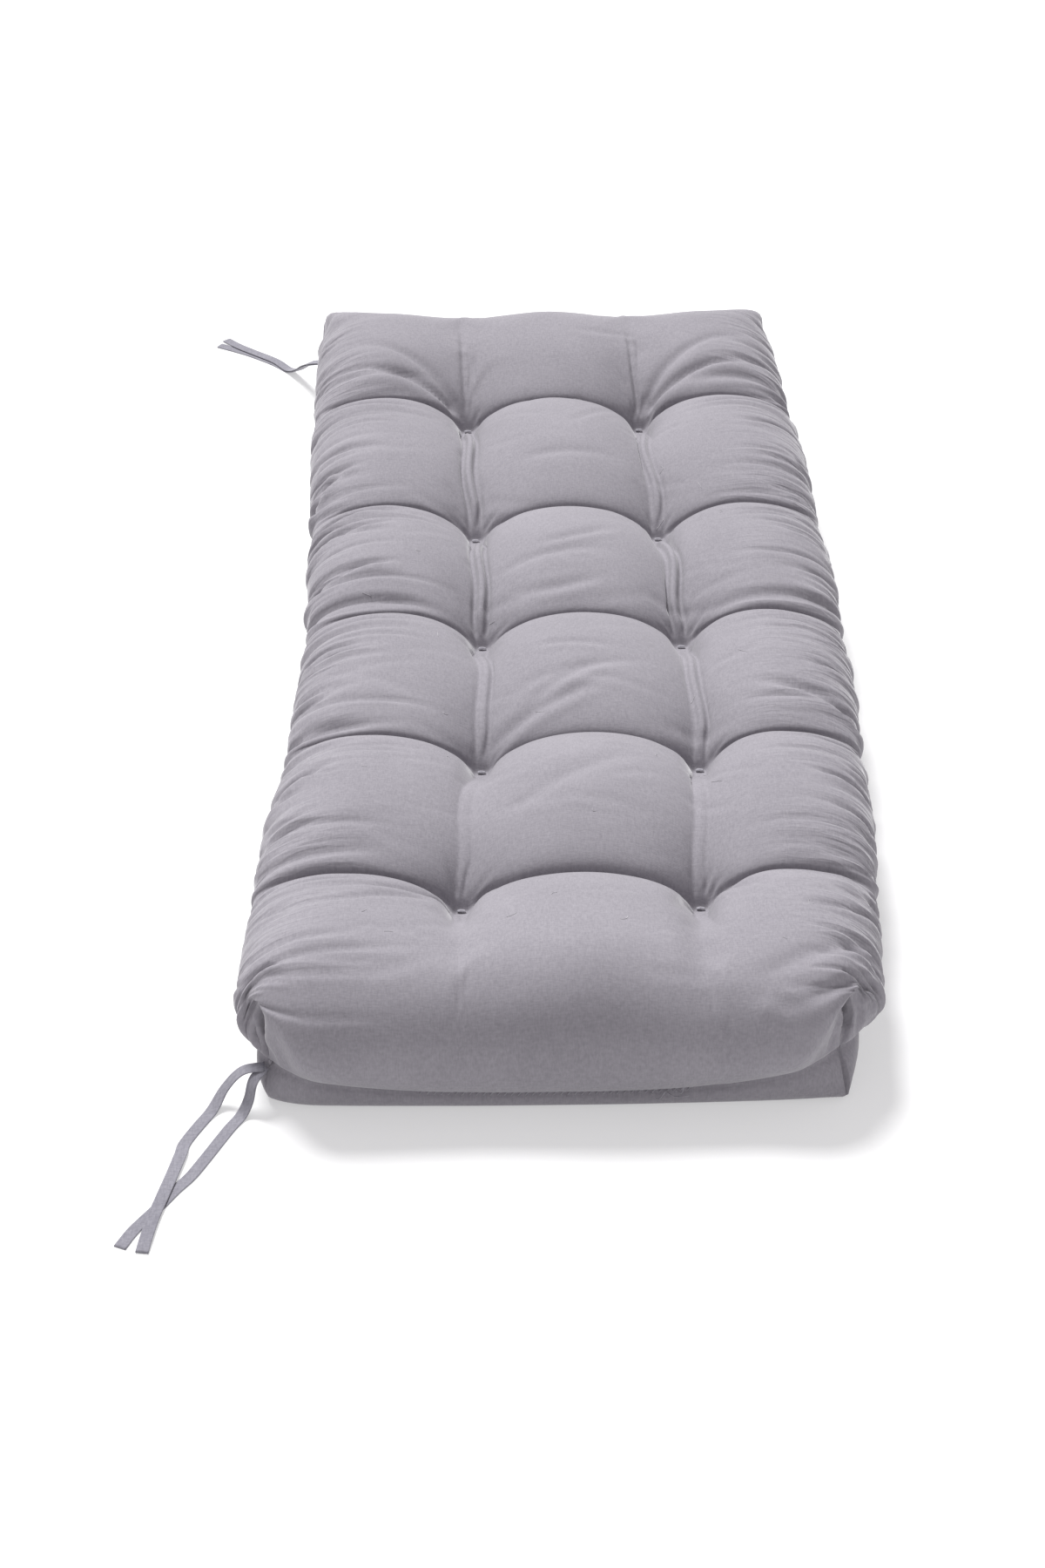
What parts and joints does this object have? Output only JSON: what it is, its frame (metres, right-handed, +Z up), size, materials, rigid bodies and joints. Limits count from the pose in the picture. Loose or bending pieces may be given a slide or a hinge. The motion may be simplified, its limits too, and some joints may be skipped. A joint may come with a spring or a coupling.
{
  "type": "bench cushion",
  "caption": "Long tufted bench cushion with a puffed top, drawn-in sides, darted corners and two pairs of tape ties.",
  "frame": {"origin": "on the surface the cushion lies on, under the middle of its body", "axes": "+X across the cushion to its right side, +Y along it away from the near end, +Z up out of the tufted face"},
  "size_m": [0.6322, 1.506, 0.126],
  "materials": {
    "cloth": "brushed plain weave, matt",
    "tape": "folded and stitched cotton tape, matt",
    "thread": "polyester sewing thread"
  },
  "bodies": {
    "root": {"cushion": "cloth", "tie_near": "tape", "tie_far": "tape", "tack_upper_1_left": "thread", "tack_upper_1_right": "thread", "tack_upper_2_left": "thread", "tack_upper_2_right": "thread", "tack_upper_3_left": "thread", "tack_upper_3_right": "thread", "tack_upper_4_left": "thread", "tack_upper_4_right": "thread", "tack_upper_5_left": "thread", "tack_upper_5_right": "thread", "tack_lower_1_left": "thread", "tack_lower_1_right": "thread", "tack_lower_2_left": "thread", "tack_lower_2_right": "thread", "tack_lower_3_left": "thread", "tack_lower_3_right": "thread", "tack_lower_4_left": "thread", "tack_lower_4_right": "thread", "tack_lower_5_left": "thread", "tack_lower_5_right": "thread"}
  },
  "joints": []
}
